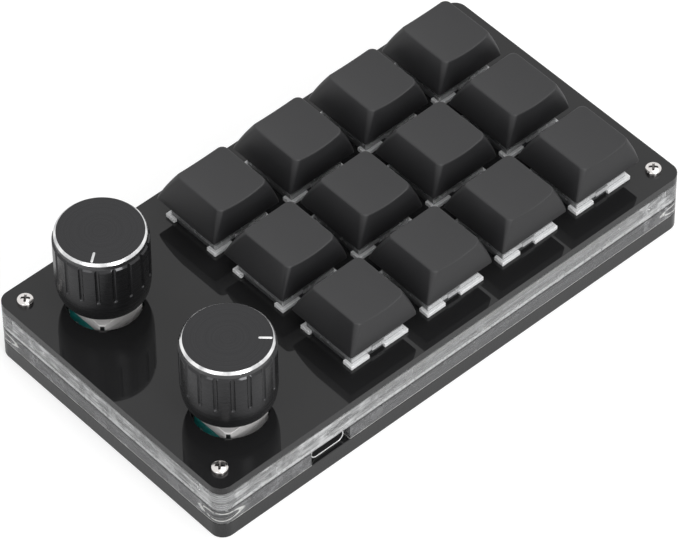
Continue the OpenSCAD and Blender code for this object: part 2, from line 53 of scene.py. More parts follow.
# ---- sizes, as in the CAD source, in millimetres -----------------------------
CASE_LEN, CASE_WID, CASE_R = 129.0, 70.0, 3.0
WALL = 4.0
LOWER_Z, UPPER_Z, PLATE_UNDER, PLATE_Z = 4.2, 8.2, 13.5, 15.4
SCREW_X, SCREW_Y, BOSS_R = 60.3, 30.3, 5.2
SCREW_PLACES = [(i * SCREW_X, j * SCREW_Y) for j in (-1, 1) for i in (-1, 1)]
KEY_PITCH = 21.0
FIRST_KEY = {"X": -15.75, "Y": -21.0}
KEY_PLACES = [
    (FIRST_KEY["X"] + n % 4 * KEY_PITCH, FIRST_KEY["Y"] + n // 4 * KEY_PITCH) for n in range(12)
]
HOUSING_TOP = 22.0
CAP_Z, CAP_H = 20.9, 7.8
CAP_BASE, CAP_TOP_X, CAP_TOP_Y, CAP_SHIFT = 18.1, 13.0, 13.9, 1.25
CAP_WALL, CAP_ROOF, CAP_RIM = 1.4, 5.7, 0.4
CAP_EASE, CAP_SWELL, CAP_SWELL_AT, DISH = 0.3, 0.45, 0.45, 0.8
KNOB_X, KNOB_Y, KNOB_Z, KNOB_R = -48.1, 19.5, 19.8, 10.0
SIDES = ("front", "rear")
POINTER_TURN = {"front": -43.0, "rear": -142.0}
GROOVE_TURN = {"front": 3.8, "rear": -5.1}
SOCKET_X, NOTCH = -34.9, 10.5


# ---- meshes --------------------------------------------------------------------
def stack(rings, joined=False):
    """Points and faces of a surface through rings of the same number of points: rings[i, j] is point j of
    ring i, and each ring is closed. The last ring is joined to the first, or each end is closed by a fan
    to its middle."""
    rows, count = rings.shape[:2]
    grid = np.arange(rows * count).reshape(rows, count)
    low = grid if joined else grid[:-1]
    high = np.roll(grid, -1, axis=0) if joined else grid[1:]
    quads = np.stack([low, np.roll(low, -1, 1), np.roll(high, -1, 1), high], axis=-1).reshape(-1, 4)
    points = rings.reshape(-1, 3)
    if joined:
        return points, quads.tolist()
    points = np.vstack([points, rings[0].mean(axis=0), rings[-1].mean(axis=0)])
    first = np.stack([np.roll(grid[0], -1), grid[0], np.full(count, rows * count)], axis=-1)
    last = np.stack([grid[-1], np.roll(grid[-1], -1), np.full(count, rows * count + 1)], axis=-1)
    return points, quads.tolist() + first.tolist() + last.tolist()


def together(shapes):
    """Several (points, faces) as one."""
    start = np.cumsum([0] + [len(points) for points, faces in shapes])
    faces = [[k + s for k in face] for s, (points, several) in zip(start, shapes) for face in several]
    return np.vstack([points for points, several in shapes]), faces


def turned(radius, height, angles, at=(0.0, 0.0)):
    """Rings of a turned shape: row i has radius[i], or radius[i, j] at angle j, and height[i]."""
    radius = np.asarray(radius, float).reshape(len(height), -1)
    radius = np.broadcast_to(radius, (len(height), len(angles)))
    z = np.broadcast_to(np.asarray(height, float)[:, None], radius.shape)
    return np.stack([at[0] + radius * np.cos(angles), at[1] + radius * np.sin(angles), z], axis=-1)


def circle(count):
    """Angles of count points round a circle."""
    return np.linspace(0, 2 * np.pi, count, endpoint=False)


def cross_reach(angles, first, second):
    """Distance from the middle of a cross to its edge at each angle: the larger of two rectangles' reach,
    each given by its half length and half width. A rectangle's reach is the smaller of half its length /
    |cos| and half its width / |sin|."""
    across = np.maximum(abs(np.cos(angles)), 1e-6)
    along = np.maximum(abs(np.sin(angles)), 1e-6)
    return np.maximum(*[np.minimum(x / across, y / along) for x, y in (first, second)])


def new_mesh(name, shape):
    """Mesh of (points in millimetres, faces)."""
    mesh = bpy.data.meshes.new(name)
    mesh.from_pydata(shape[0] * MM, [], shape[1])
    mesh.validate()
    mesh.polygons.foreach_set("use_smooth", np.ones(len(mesh.polygons), bool))
    return mesh


def in_scene(name, data):
    """A new object at the origin, put in the scene."""
    made = bpy.data.objects.new(name, data)
    bpy.context.scene.collection.objects.link(made)
    return made


def piece(name, shape, body, stands_for, looks, crease=35):
    """A new piece that rides on a body and stands for CAD nodes. Edges over crease degrees stay sharp."""
    mesh = new_mesh(name, shape)
    mesh.set_sharp_from_angle(angle=math.radians(crease))
    for look in looks:
        mesh.materials.append(look)
    made = in_scene(name, mesh)
    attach(made, body)
    if stands_for:
        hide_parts(*stands_for)
    return made


def eased_copy(node, body, look, width):
    """A piece that stands for a node: a copy of its mesh, merged, with its edges rounded off by width."""
    crease = math.radians(30)
    mesh = nodes[node].data.copy()
    mesh.name = node + "_eased"
    work = bmesh.new()
    work.from_mesh(mesh)
    bmesh.ops.remove_doubles(work, verts=work.verts, dist=1e-6)
    bmesh.ops.dissolve_limit(work, angle_limit=math.radians(0.5), verts=work.verts, edges=work.edges)
    work.to_mesh(mesh)
    work.free()
    if "custom_normal" in mesh.attributes:
        mesh.attributes.remove(mesh.attributes["custom_normal"])
    mesh.polygons.foreach_set("use_smooth", np.ones(len(mesh.polygons), bool))
    mesh.set_sharp_from_angle(angle=crease)
    mesh.materials.clear()
    mesh.materials.append(look)
    made = in_scene(mesh.name, mesh)
    ease = made.modifiers.new("eased edges", "BEVEL")
    ease.width = width * MM
    ease.segments = 2
    ease.limit_method = "ANGLE"
    ease.angle_limit = crease
    ease.harden_normals = False
    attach(made, body)
    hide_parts(node)


# ---- finishes --------------------------------------------------------------------
class Wire:
    """A node's output that can stand in a sum; each operation adds a Math node."""

    def __init__(self, look, socket):
        self.look = look
        self.socket = socket

    def maths(self, operation, *values):
        return self.look.node("Math", {"operation": operation}, dict(enumerate(values)))

    def __add__(self, other):
        return self.maths("ADD", self, other)

    def __radd__(self, other):
        return self.maths("ADD", other, self)

    def __sub__(self, other):
        return self.maths("SUBTRACT", self, other)

    def __rsub__(self, other):
        return self.maths("SUBTRACT", other, self)

    def __mul__(self, other):
        return self.maths("MULTIPLY", self, other)

    def __rmul__(self, other):
        return self.maths("MULTIPLY", other, self)

    def __truediv__(self, other):
        return self.maths("DIVIDE", self, other)

    def __pow__(self, other):
        return self.maths("POWER", self, other)

    def __abs__(self):
        return self.maths("ABSOLUTE", self)

    def above(self, limit):
        """1 where the value is over the limit, else 0."""
        return self.maths("GREATER_THAN", self, limit)

    def wave(self):
        """The value's sine."""
        return self.maths("SINE", self)

    def remainder(self, step):
        """What is left of the value after whole steps."""
        return self.maths("FLOORED_MODULO", self, step)

    def low(self, other):
        """The smaller of two values."""
        return self.maths("MINIMUM", self, other)

    def high(self, other):
        """The larger of two values."""
        return self.maths("MAXIMUM", self, other)

    def ramp(self, start, end):
        """0 before start, 1 after end, smooth between."""
        settings = {"interpolation_type": "SMOOTHSTEP"}
        return self.look.node("MapRange", settings, {"Value": self, "From Min": start, "From Max": end})


class Look:
    """A node material while it is written. Places are in millimetres in the object's own frame."""

    def __init__(self, name, colour, roughness, **fixed):
        self.material = bpy.data.materials.new(name)
        self.material.use_nodes = True
        self.tree = self.material.node_tree
        self.shader = self.tree.nodes["Principled BSDF"]
        self.feed(self.shader, {"Base Color": colour, "Roughness": roughness})
        self.feed(self.shader, {key.replace("_", " "): value for key, value in fixed.items()})
        self.known = {}

    def feed(self, node, values):
        """Sets a node's sockets by name or number to values or links."""
        for key, value in values.items():
            socket = node.inputs[key]
            if isinstance(value, Wire):
                self.tree.links.new(value.socket, socket)
            elif isinstance(value, tuple) and len(value) == 3 and socket.type == "RGBA":
                socket.default_value = (*value, 1.0)
            else:
                socket.default_value = value

    def node(self, kind, settings, values, out=0):
        """Any other node: its type, its settings, its sockets' values, and which output is wanted."""
        made = self.tree.nodes.new("ShaderNode" + kind)
        for key, value in settings.items():
            setattr(made, key, value)
        self.feed(made, values)
        return Wire(self, made.outputs[out])

    def place(self):
        """The point's place in millimetres."""
        if "place" not in self.known:
            metres = self.node("TexCoord", {}, {}, "Object")
            in_mm = {0: metres, "Scale": 1000.0}
            self.known["place"] = self.node("VectorMath", {"operation": "SCALE"}, in_mm)
        return self.known["place"]

    def axis(self, letter):
        """One coordinate of the place, in millimetres."""
        if "axes" not in self.known:
            split = self.node("SeparateXYZ", {}, {0: self.place()})
            self.known["axes"] = split.socket.node
        return Wire(self, self.known["axes"].outputs["XYZ".index(letter)])

    def off_key(self, letter):
        """Distance along X or Y from the nearest switch's axis: the place's remainder after whole
        pitches, counted from half a pitch before the first axis, less half a pitch."""
        half = KEY_PITCH / 2
        return abs((self.axis(letter) + (half - FIRST_KEY[letter])).remainder(KEY_PITCH) - half)

    def upright(self):
        """1 on faces that stand upright, 0 on level ones."""
        normal = self.node("NewGeometry", {}, {}, "Normal")
        level = self.node("SeparateXYZ", {}, {0: normal}, 2)
        return 1 - abs(level).ramp(0.3, 0.6)

    def noise(self, per_mm, detail=2.0, rough=0.5, stretch=None):
        """Soft noise from 0 to 1 with per_mm lumps in a millimetre, times stretch along each axis."""
        where = self.place()
        if stretch:
            where = self.node("VectorMath", {"operation": "MULTIPLY"}, {0: where, 1: stretch})
        values = {"Vector": where, "Scale": per_mm, "Detail": detail, "Roughness": rough}
        return self.node("TexNoise", {}, values)

    def specks(self, per_mm, size):
        """1 in small scattered dots, 0 elsewhere: the middles of a few random cells."""
        cells = {"Vector": self.place(), "Scale": per_mm, "Randomness": 1.0}
        near = self.node("TexVoronoi", {}, cells, "Distance")
        pick = self.node("TexVoronoi", {}, cells, "Color")
        chosen = self.node("SeparateColor", {}, {0: pick}, 0).above(0.8)
        return (1 - near.ramp(size * 0.6, size)) * chosen

    def mix(self, factor, first, second):
        """Colour between first and second."""
        return self.node("Mix", {"data_type": "RGBA"}, {0: factor, 6: first, 7: second}, 2)

    def bump(self, height, depth):
        """Raises the surface by height times depth millimetres in its shading."""
        values = {"Height": height, "Distance": depth * MM, "Strength": 1.0}
        self.feed(self.shader, {"Normal": self.node("Bump", {}, values)})

    def done(self, colour, roughness, **varying):
        """Feeds the shader's sockets that change over the surface, and gives the material."""
        self.feed(self.shader, {"Base Color": colour, "Roughness": roughness, **varying})
        return self.material


def polished_black(name, dust):
    """Polished black acrylic: faint smears and dust on its faces, upright lines on its cut edges."""
    look = Look(name, (0.013, 0.013, 0.0135), 0.06, IOR=1.44)
    smear = look.noise(0.05, 3.0, 0.6)
    edge = look.upright()
    lines = look.noise(3.0, 2.0, 0.6, (1.0, 1.0, 0.05))
    dots = look.specks(0.12, dust)
    film = look.mix(smear, (0.0125, 0.0125, 0.013), (0.0155, 0.0155, 0.016))
    face = look.mix(dots, film, (0.16, 0.16, 0.155))
    cut = look.mix(lines, (0.012, 0.012, 0.0125), (0.026, 0.026, 0.027))
    look.bump(lines * edge, 0.02)
    rough = 0.03 + smear.ramp(0.45, 0.85) * 0.03 + edge * 0.22 + dots * 0.5
    return look.done(look.mix(edge, face, cut), rough)


def layer_lines(look, height):
    """Lines along the clear layers, by height over the seam between them: the dark seam with the dark
    line under the top plate, the broken pale line that the saw left just over the seam, and the pale
    line along the lower layer's foot."""
    top, foot = PLATE_UNDER - UPPER_Z, LOWER_Z - UPPER_Z
    under_plate = height.ramp(top - 0.4, top - 0.24)
    seam = (1 - abs(height).ramp(0.14, 0.3)) + under_plate
    broken = look.noise(1.4, 3.0).ramp(0.25, 0.55)
    saw_line = height.ramp(0.34, 0.46) * (1 - height.ramp(1.0, 1.3)) * broken
    foot_line = 1 - (height - foot).ramp(0.2, 0.35)
    return seam, saw_line, foot_line


def screw_marks(look, height):
    """What shows of a screw through a clear corner: the bright edge of its bore, an ellipse on the wall
    about a middle under the seam, and the lines of its thread over the seam."""
    corner_from_screw, bore_drop = 4.0, 1.9
    half_wide_squared, half_high_squared = 30.0, 1.2
    thread_turn = 10.5
    to_corner = (abs(look.axis("X")) - SCREW_X).low(abs(look.axis("Y")) - SCREW_Y) - corner_from_screw
    drop = height + bore_drop
    from_bore = ((to_corner * to_corner) / half_wide_squared + (drop * drop) / half_high_squared) ** 0.5
    bore_edge = (1 - abs(from_bore - 1).ramp(0.06, 0.2)) * look.noise(0.9, 3.0).ramp(0.3, 0.55)
    turns = (height * thread_turn).wave() * 0.5 + 0.5
    thread = to_corner.ramp(-3.5, -1.5) * height.ramp(0.2, 0.5) * turns
    return bore_edge, thread


def clear_plastic(name, tint, milky, streaky, frosted):
    """Clear acrylic with sawn walls. The saw left pale streaks along the layer, upright lines and
    frosted patches, so there a milky shader is mixed in. The wall is calmer between the socket and the
    +X corners, and the corners are clear but for what shows of the screws."""
    look = Look(name, tint, 0.03, IOR=1.49, Transmission_Weight=0.92)
    lines = look.noise(1.6, 2.0, 0.6, (1.0, 1.0, 0.08))
    streaks = look.noise(1.0, 3.0, 0.6, (0.14, 0.14, 0.75))
    blocks = look.noise(0.22, 2.0, 0.6, (1.0, 1.0, 0.25))
    saw = look.noise(1.0, 1.0, 0.5, (0.03, 0.03, 4.0)).ramp(0.45, 0.6)
    patches = look.noise(0.22, 2.0, 0.5).ramp(0.5 - frosted, 0.68 - frosted)
    frost = look.noise(5.0, 2.0) * patches
    calm_start = look.axis("X").ramp(-24.0, -14.0)
    calm_end = look.axis("X").ramp(46.0, 56.0)
    calm = calm_start * (1 - calm_end) * 0.85
    corner = abs(look.axis("X")).ramp(60.5, 62.5) * abs(look.axis("Y")).ramp(31.0, 33.0)
    wall = look.upright()
    sawn = wall * (1 - corner)
    height = look.axis("Z") - UPPER_Z
    seam, saw_line, foot_line = layer_lines(look, height)
    seam = seam * wall
    bore_edge, thread = screw_marks(look, height)
    look.bump((lines * 0.5 + streaks + frost * 0.5) * sawn * (1 - calm), 0.06)
    pale_colour = look.mix((bore_edge + foot_line).low(1.0), milky, (0.72, 0.72, 0.7))
    pale = look.node("BsdfPrincipled", {}, {"Base Color": pale_colour, "Roughness": 0.45})
    cloudy = streaks.ramp(0.4, 0.66) * blocks.ramp(0.3, 0.6) * streaky + patches * 0.25
    share = (cloudy * (1 - calm) + calm * 0.06 + lines * 0.15 + saw * 0.12) * sawn
    share = share + (saw_line * 0.6 + foot_line * 0.5) * sawn + (bore_edge * 0.9 + thread * 0.3) * wall
    share = share.low(0.9) * (1 - seam)
    clear = Wire(look, look.shader.outputs[0])
    both = look.node("MixShader", {}, {0: share + 0.04, 1: clear, 2: pale})
    look.tree.links.new(both.socket, look.tree.nodes["Material Output"].inputs["Surface"])
    return look.done(look.mix(seam, tint, (0.03, 0.03, 0.03)), 0.04 + sawn * (0.1 + patches * 0.15))


def keycap_plastic():
    """Matte black keycap plastic with a fine grain, its tone and roughness varying in soft clouds."""
    look = Look("keycap_matte_black", (0.02, 0.02, 0.021), 0.5, IOR=1.5)
    grain = look.noise(9.0, 2.0, 0.6)
    cloud = look.noise(0.15, 3.0, 0.6)
    look.bump(grain, 0.012)
    colour = look.mix(cloud, (0.015, 0.015, 0.016), (0.021, 0.021, 0.0225))
    return look.done(colour, 0.42 + cloud * 0.12 + (grain - 0.5) * 0.1)


def housing_plastic():
    """Milky lower switch housing: its flange, which stands out over the plate, scatters light, and its
    body is painted dark grey as shade. The flange is what lies more than 7 mm from its switch's
    axis along X or Y."""
    look = Look("housing_frosted", (0.8, 0.81, 0.82), 0.35, IOR=1.5, Subsurface_Weight=0.15)
    look.feed(look.shader, {"Subsurface Radius": (1.0, 1.0, 1.0), "Subsurface Scale": 0.0006})
    flange = look.off_key("X").high(look.off_key("Y")).ramp(7.0, 7.12)
    cloud = look.noise(0.8, 2.0)
    look.bump(look.noise(6.0, 2.0), 0.01)
    milky = look.mix(cloud, (0.88, 0.89, 0.9), (0.97, 0.975, 0.98))
    # Painted shade: the housing's body is coloured dark grey, the flange keeps the milky colour.
    shade_grey = look.mix(cloud, (0.05, 0.052, 0.055), (0.1, 0.102, 0.105))
    return look.done(look.mix(flange, shade_grey, milky), 0.3 + cloud * 0.15)


def cover_plastic():
    """Smoky clear upper switch housing, with a milky foot on its -Y and +Y sides."""
    look = Look("cover_smoky_clear", (0.4, 0.41, 0.42), 0.25, IOR=1.5, Transmission_Weight=0.35)
    cloud = look.noise(0.8, 2.0)
    foot = look.off_key("Y").ramp(6.6, 6.8) * (1 - look.axis("Z").ramp(17.5, 17.7))
    look.bump(look.noise(6.0, 2.0), 0.008)
    smoky = look.mix(cloud, (0.22, 0.225, 0.23), (0.36, 0.365, 0.37))
    return look.done(look.mix(foot * 0.9, smoky, (0.95, 0.96, 0.97)), 0.18 + cloud * 0.15)


def moulded(name, tint, rough):
    """Plain moulded plastic with slight clouding and grain."""
    look = Look(name, tint, rough)
    cloud = look.noise(0.6, 3.0)
    look.bump(look.noise(7.0, 2.0), 0.01)
    return look.done(look.mix(cloud, tuple(c * 0.85 for c in tint), tint), rough - 0.05 + cloud * 0.1)


def encoder_plastic():
    """Teal plastic of the encoder bodies, with painted shade, near black, in the gaps at their corners."""
    look = Look("encoder_teal", (0.03, 0.42, 0.4), 0.35)
    cloud = look.noise(0.6, 3.0)
    across = abs(look.axis("X") - KNOB_X)
    along = abs(abs(look.axis("Y")) - KNOB_Y)
    # Painted shade: the teal turns near black where the body's corners lie in the gaps.
    corner_shade = across.low(along).ramp(4.7, 4.9)
    look.bump(look.noise(7.0, 2.0), 0.01)
    plain = look.mix(cloud, (0.0255, 0.357, 0.34), (0.03, 0.42, 0.4))
    return look.done(look.mix(corner_shade, plain, (0.02, 0.02, 0.02)), 0.3 + cloud * 0.1)


def bare_metal(name, tint, rough, metal=1.0):
    """Bare metal with a fine grain and duller, worn patches."""
    look = Look(name, tint, rough, Metallic=metal)
    grain = look.noise(4.0, 2.0, 0.6)
    look.bump(grain, 0.008)
    worn = tuple(c * 0.8 for c in tint)
    return look.done(look.mix(look.noise(0.7, 3.0), worn, tint), rough - 0.06 + grain * 0.14)


def socket_metal():
    """Drawn steel of the socket: bright at its mouth, and painted dark further in as shade inside it."""
    look = Look("socket_steel", (0.9, 0.9, 0.9), 0.3, Metallic=0.35)
    drawn = look.noise(4.0, 2.0, 0.6, (1.0, 0.1, 1.0))
    look.bump(drawn, 0.006)
    mouth_deep = 1.2
    shade_from = mouth_deep - CASE_WID / 2
    # Painted shade: past this depth the socket's steel is coloured near black.
    inside = look.axis("Y").ramp(shade_from - 0.06, shade_from + 0.06)
    colour = look.mix(inside, (0.96, 0.96, 0.96), (0.05, 0.05, 0.052))
    return look.done(colour, 0.24 + drawn * 0.14)


def turned_black():
    """Black anodised aluminium with fine lathe rings, which follow radius plus height about each knob's
    axis. The bevel is smoother and the band over it a little paler."""
    look = Look("knob_black_anodised", (0.05, 0.05, 0.052), 0.3, Metallic=0.75)
    across = look.axis("X") - KNOB_X
    along = abs(look.axis("Y")) - KNOB_Y
    height = look.axis("Z") - KNOB_Z
    radius = (across * across + along * along) ** 0.5
    turn = radius + height
    rings = look.node("TexNoise", {"noise_dimensions": "1D"}, {"W": turn, "Scale": 2.6, "Detail": 3.0})
    fine = look.node("TexNoise", {"noise_dimensions": "1D"}, {"W": turn, "Scale": 16.0, "Detail": 1.0})
    cuts = (turn * 15.7).wave() * 0.5 + 0.5
    look.bump(rings * 0.5 + fine * 0.3 + cuts * 0.35, 0.02)
    band = height.ramp(15.36, 15.42) * (1 - height.ramp(16.4, 16.46))
    bevel = height.ramp(14.92, 14.98) * (1 - height.ramp(15.34, 15.38))
    dark = look.mix(rings, (0.032, 0.032, 0.0335), (0.048, 0.048, 0.05))
    return look.done(look.mix(band, dark, (0.085, 0.085, 0.087)), 0.2 + fine * 0.12 - bevel * 0.14)


def bright_cut():
    """Bright cut aluminium of the knob's rim and pointer."""
    look = Look("knob_bright_cut", (0.86, 0.86, 0.86), 0.2, Metallic=1.0)
    fine = look.noise(6.0, 2.0)
    worn = look.noise(0.35, 2.0).ramp(0.35, 0.65)
    look.bump(fine, 0.006)
    return look.done(look.mix(worn, (0.6, 0.6, 0.61), (0.92, 0.92, 0.92)), 0.12 + fine * 0.14)


def board_finish():
    """Circuit board: dark mask with faint tracks on its faces, pale glass fibre on its cut edges."""
    look = Look("board_dark_mask", (0.012, 0.02, 0.016), 0.4)
    edge = look.upright()
    track = look.noise(0.35, 0.0, 0.0, (1.0, 0.25, 1.0)).ramp(0.52, 0.56)
    fibre = look.noise(4.0, 2.0, 0.6, (1.0, 1.0, 3.0))
    face = look.mix(track, (0.010, 0.016, 0.013), (0.02, 0.032, 0.026))
    cut = look.mix(fibre, (0.52, 0.5, 0.42), (0.72, 0.7, 0.6))
    look.bump(track * (1 - edge), 0.03)
    return look.done(look.mix(edge, face, cut), 0.32 + edge * 0.35)


def fittings_finish():
    """Small parts on the board: dark bodies with bright tinned ends, told apart by a coarse pattern."""
    look = Look("board_parts_mixed", (0.4, 0.36, 0.28), 0.4)
    ends = look.noise(1.2, 0.0, 0.0).ramp(0.5, 0.56)
    colour = look.mix(ends, (0.09, 0.085, 0.08), (0.62, 0.58, 0.5))
    return look.done(colour, 0.3 + ends * 0.15, Metallic=ends * 0.5)


black_plate = polished_black("black_acrylic_polished", 0.03)
black_base = polished_black("black_acrylic_base", 0.01)
pale_tint, pale_milk = (0.7, 0.71, 0.715), (0.6, 0.605, 0.61)
grey_tint, grey_milk = (0.36, 0.365, 0.375), (0.27, 0.27, 0.28)
upper_clear = clear_plastic("clear_acrylic_upper", pale_tint, pale_milk, streaky=0.75, frosted=0.0)
lower_clear = clear_plastic("clear_acrylic_lower", grey_tint, grey_milk, streaky=0.25, frosted=0.02)
cap_finish = keycap_plastic()
housing_finish = housing_plastic()
cover_finish = cover_plastic()
knob_finish = turned_black()
rim_finish = bright_cut()
screw_finish = bare_metal("screw_steel", (0.84, 0.81, 0.79), 0.2)
# The screws' cross recesses get a dark metal: painted shade.
recess_shade_finish = bare_metal("screw_recess_painted_shade", (0.16, 0.15, 0.145), 0.35)
insert_finish = bare_metal("insert_plated", (0.8, 0.74, 0.7), 0.3)
spring_steel = bare_metal("spring_steel", (0.6, 0.6, 0.62), 0.28)
socket_finish = socket_metal()
bracket_finish = bare_metal("bracket_plated", (0.95, 0.93, 0.92), 0.45, metal=0.3)
teal = encoder_plastic()


def finish_node(node, look):
    """Gives a CAD node a finish."""
    made = nodes[node]
    if not made.material_slots:
        made.data.materials.append(look)
    for place in made.material_slots:
        place.material = look


finish_node("circuit_board", board_finish())
finish_node("controller_chip", moulded("chip_epoxy", (0.015, 0.015, 0.016), 0.45))
finish_node("board_parts", fittings_finish())
finish_node("usb_tongue", moulded("tongue_black", (0.015, 0.015, 0.015), 0.35))
contact_finish = bare_metal("contact_bronze", (0.75, 0.55, 0.3), 0.3)
finish_node("switch_contacts", contact_finish)
finish_node("encoder_pins", bare_metal("pin_tin", (0.7, 0.7, 0.7), 0.3))
stem_finish = moulded("stem_red", (0.42, 0.03, 0.03), 0.35)
core_finish = moulded("core_black_plastic", (0.02, 0.02, 0.02), 0.45)
plunger_finish = moulded("plunger_ivory", (0.75, 0.73, 0.66), 0.4)
shaft_finish = bare_metal("shaft_aluminium", (0.7, 0.7, 0.71), 0.3)
for n in range(12):
    finish_node(f"key_stem_{n + 1}", stem_finish)
for side in SIDES:
    finish_node(f"encoder_plunger_{side}", plunger_finish)
    finish_node(f"encoder_shaft_{side}", shaft_finish)
    finish_node(f"knob_core_{side}", core_finish)


# ---- plates, housings and other eased copies ----------------------------------------
eased_copy("top_plate", "case", black_plate, 0.1)
eased_copy("bottom_plate", "case", black_base, 0.12)
eased_copy("switch_bases", "case", housing_finish, 0.12)
eased_copy("switch_covers", "case", cover_finish, 0.1)
eased_copy("usb_shell", "case", socket_finish, 0.08)
for side in SIDES:
    eased_copy(f"encoder_body_{side}", "case", teal, 0.12)
    eased_copy(f"encoder_bracket_{side}", "case", bracket_finish, 0.08)


# ---- clear layers ----------------------------------------------------------------------
def along(corners, count):
    """count points spaced evenly by length along a line through corners."""
    corners = np.asarray(corners, float)
    reach = np.r_[0, np.cumsum(np.hypot(*np.diff(corners, axis=0).T))]
    want = np.linspace(0, reach[-1], count)
    return np.stack([np.interp(want, reach, corners[:, k]) for k in (0, 1)], axis=-1)


def layer_edges():
    """Matching points of a clear layer's outer edge and window edge, anticlockwise from the middle of
    the +X side. A corner's quarter is worked out once and mirrored: the outer edge turns on the case's
    radius, and the window's edge follows the block round the screw, a circle about the screw's axis."""
    half_x, half_y = CASE_LEN / 2, CASE_WID / 2
    in_x, in_y = half_x - WALL, half_y - WALL
    bend = np.linspace(0, np.pi / 2, 17)
    round_x = half_x - CASE_R + CASE_R * np.cos(bend)
    round_y = half_y - CASE_R + CASE_R * np.sin(bend)
    arc = np.stack([round_x, round_y], axis=-1)
    start = 2 * np.pi - math.acos((in_x - SCREW_X) / BOSS_R)
    end = np.pi - math.asin((in_y - SCREW_Y) / BOSS_R)
    turn = np.linspace(start, end, 33)
    block = np.stack([SCREW_X + BOSS_R * np.cos(turn), SCREW_Y + BOSS_R * np.sin(turn)], axis=-1)
    outer = along(np.vstack([[half_x, block[0, 1]], arc, [block[-1, 0], half_y]]), 33)
    near = np.linspace(0, block[0, 1], 9)[:-1]
    far = np.linspace(block[-1, 0], 0, 13)[1:]
    outer = np.vstack([np.c_[np.full(8, half_x), near], outer, np.c_[far, np.full(12, half_y)]])
    inner = np.vstack([np.c_[np.full(8, in_x), near], block, np.c_[far, np.full(12, in_y)]])
    quarter = np.stack([outer, inner], axis=1)
    second = quarter[::-1] * (-1, 1)
    half = np.vstack([quarter, second[1:]])
    return np.vstack([half, (half[::-1] * (1, -1))[1:-1]])


def layer_walls(edges, low, high, ease=0.12):
    """Cross-sections of the wall at each pair of edge points: a rectangle from the outer to the window
    edge and from low to high with eased corners, listed from the outer face upwards round the section."""
    outer, inner = edges[:, 0], edges[:, 1]
    across = inner - outer
    width = np.hypot(across[:, 0], across[:, 1])[:, None]
    across = across / width
    steps = [(0, 0, low + ease), (0, 0, high - ease), (0, ease, high), (1, -ease, high)]
    steps += [(1, 0, high - ease), (1, 0, low + ease), (1, -ease, low), (0, ease, low)]
    rows = []
    for share, shift, z in steps:
        rows.append(np.c_[outer + across * (share * width + shift), np.full(len(edges), z)])
    return np.stack(rows)


def bored(at, radius, low, high):
    """Wall of a bore inside a clear layer: rings from the top down, so that it faces its own axis."""
    return stack(turned([radius, radius], [high, low], circle(32), at))


LAYER_GAP, BORE_GAP = 0.01, 0.05
SCREW_BORE_R, INSERT_BORE_R = 1.2, 2.1


def upper_layer():
    """The upper clear ring: its walls all round, and a bore at each screw. Layers and bores stop short
    of what they meet by small gaps."""
    rings = layer_walls(layer_edges(), UPPER_Z + LAYER_GAP, PLATE_UNDER - LAYER_GAP)
    bores = [bored(at, SCREW_BORE_R, UPPER_Z + BORE_GAP, PLATE_UNDER - BORE_GAP) for at in SCREW_PLACES]
    return together([stack(rings, joined=True)] + bores)


def lower_layer():
    """The lower clear ring, open where the socket's notch goes through its -Y side. Edge points less
    than a margin from the notch are left out, and the ring starts and ends with a straight cut at the
    notch."""
    margin = 0.3
    edges = layer_edges()
    left, right = SOCKET_X - NOTCH / 2, SOCKET_X + NOTCH / 2
    on_side = np.isclose(edges[:, 0, 1], -CASE_WID / 2)
    after = on_side & (edges[:, 0, 0] > right + margin)
    start = np.flatnonzero(after)[np.argmin(edges[after, 0, 0])]
    edges = np.roll(edges, -start, axis=0)
    on_side = np.isclose(edges[:, 0, 1], -CASE_WID / 2)
    inside = on_side & (edges[:, 0, 0] < right + margin) & (edges[:, 0, 0] > left - margin)
    edges = edges[~inside]
    out_y, in_y = -CASE_WID / 2, -CASE_WID / 2 + WALL
    first, last = [np.array([[[x, out_y], [x, in_y]]]) for x in (right, left)]
    edges = np.concatenate([first, edges, last])
    rings = layer_walls(edges, LOWER_Z + LAYER_GAP, UPPER_Z - LAYER_GAP)[::-1]
    bores = [bored(at, INSERT_BORE_R, LOWER_Z + BORE_GAP, UPPER_Z - BORE_GAP) for at in SCREW_PLACES]
    return together([stack(rings.transpose(1, 0, 2))] + bores)


piece("upper_layer", upper_layer(), "case", ["upper_frame"], [upper_clear], 30)
piece("lower_layer", lower_layer(), "case", ["lower_frame"], [lower_clear], 30)


# ---- keycaps -------------------------------------------------------------------------------
def corner_frame(arc=9, side=7):
    """Which corner each point of a rounded rectangle belongs to, from -1 to 1 on each axis, and the
    direction in which the corner's radius reaches it."""
    turn = np.linspace(0, np.pi / 2, arc)
    corners = [(1, 1), (-1, 1), (-1, -1), (1, -1)]
    lean, signs = [], []
    for k, corner in enumerate(corners):
        following = corners[(k + 1) % 4]
        angle = turn + k * np.pi / 2
        lean.append(np.stack([np.cos(angle), np.sin(angle)], axis=-1))
        signs.append(np.tile(corner, (arc, 1)))
        share = np.linspace(0, 1, side + 2)[1:-1, None]
        lean.append(np.tile(lean[-1][-1], (side, 1)))
        signs.append(np.array(corner) * (1 - share) + np.array(following) * share)
    return np.vstack(signs).astype(float), np.vstack(lean)


CAP_SIGNS, CAP_LEAN = corner_frame()


